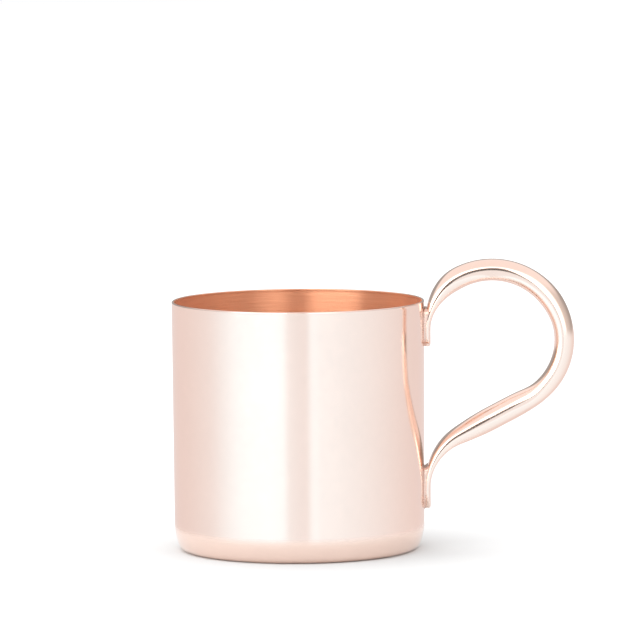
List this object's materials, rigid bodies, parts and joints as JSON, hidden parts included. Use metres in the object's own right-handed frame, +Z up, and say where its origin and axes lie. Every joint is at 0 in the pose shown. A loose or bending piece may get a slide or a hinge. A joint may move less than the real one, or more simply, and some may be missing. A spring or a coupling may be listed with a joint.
{
  "type": "copper mug",
  "caption": "Straight-sided drinking mug of sheet copper with a rounded bottom corner and an open ear-shaped tube handle brazed to its side.",
  "frame": {"origin": "on the cup's axis, at the plane of the flat ring it stands on", "axes": "+Z up along the cup's axis, +X from the axis towards the handle, +Y across the handle's plane, away from a viewer who has the handle on the right"},
  "size_m": [0.1339, 0.084, 0.0964],
  "materials": {
    "cup_copper": "polished outside, fine spun satin inside",
    "handle_copper": "polished",
    "filler": "satin"
  },
  "bodies": {
    "root": {"cup": "cup_copper", "handle": "handle_copper", "lower_braze": "filler", "upper_braze": "filler"}
  },
  "joints": []
}
